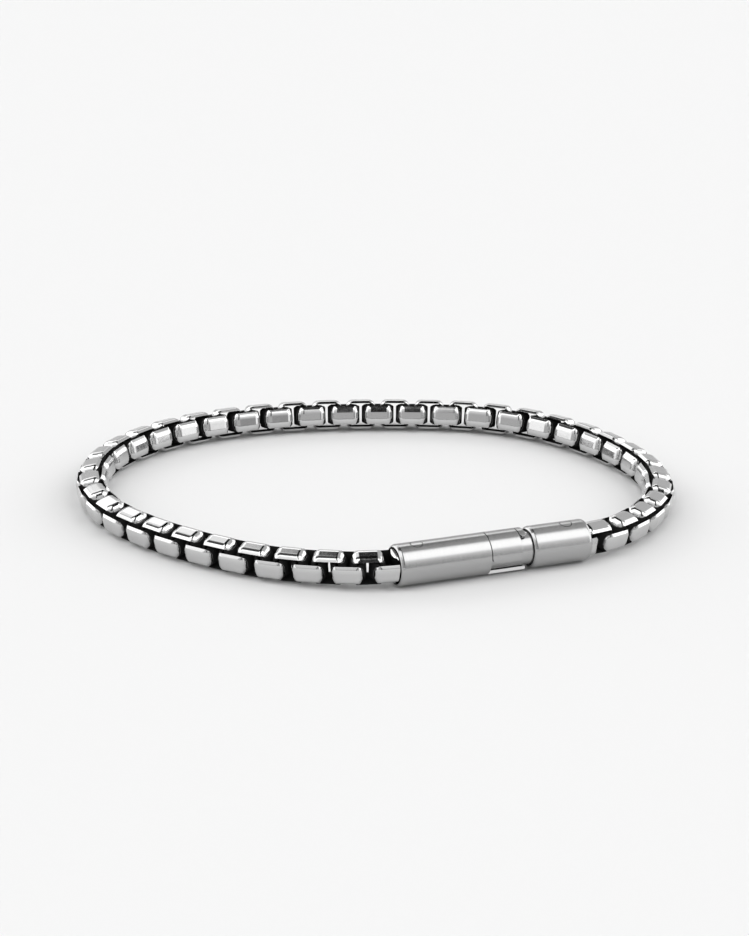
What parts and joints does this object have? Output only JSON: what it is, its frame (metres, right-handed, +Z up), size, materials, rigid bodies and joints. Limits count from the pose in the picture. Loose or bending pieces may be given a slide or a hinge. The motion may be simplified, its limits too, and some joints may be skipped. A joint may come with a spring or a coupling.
{
  "type": "box chain bracelet",
  "caption": "Closed bracelet of square box chain links with a two-part twist-lock barrel clasp, lying flat on its side as an open loop.",
  "frame": {"origin": "on the floor, under the middle of the loop's box", "axes": "+X along the clasp, from the socket barrel to the plug barrel; +Y away from the clasp, across the loop; +Z up, through the hollow for the wrist"},
  "size_m": [0.0722, 0.0582, 0.005],
  "materials": {
    "links": "polished steel",
    "clasp": "fine brushing round the barrels",
    "rivets": "satin"
  },
  "bodies": {
    "root": {"box_chain": "links", "socket_barrel": "clasp", "plug_barrel": "clasp", "socket_end_link": "links", "plug_end_link": "links", "socket_rivet": "rivets", "plug_rivet": "rivets"}
  },
  "joints": []
}
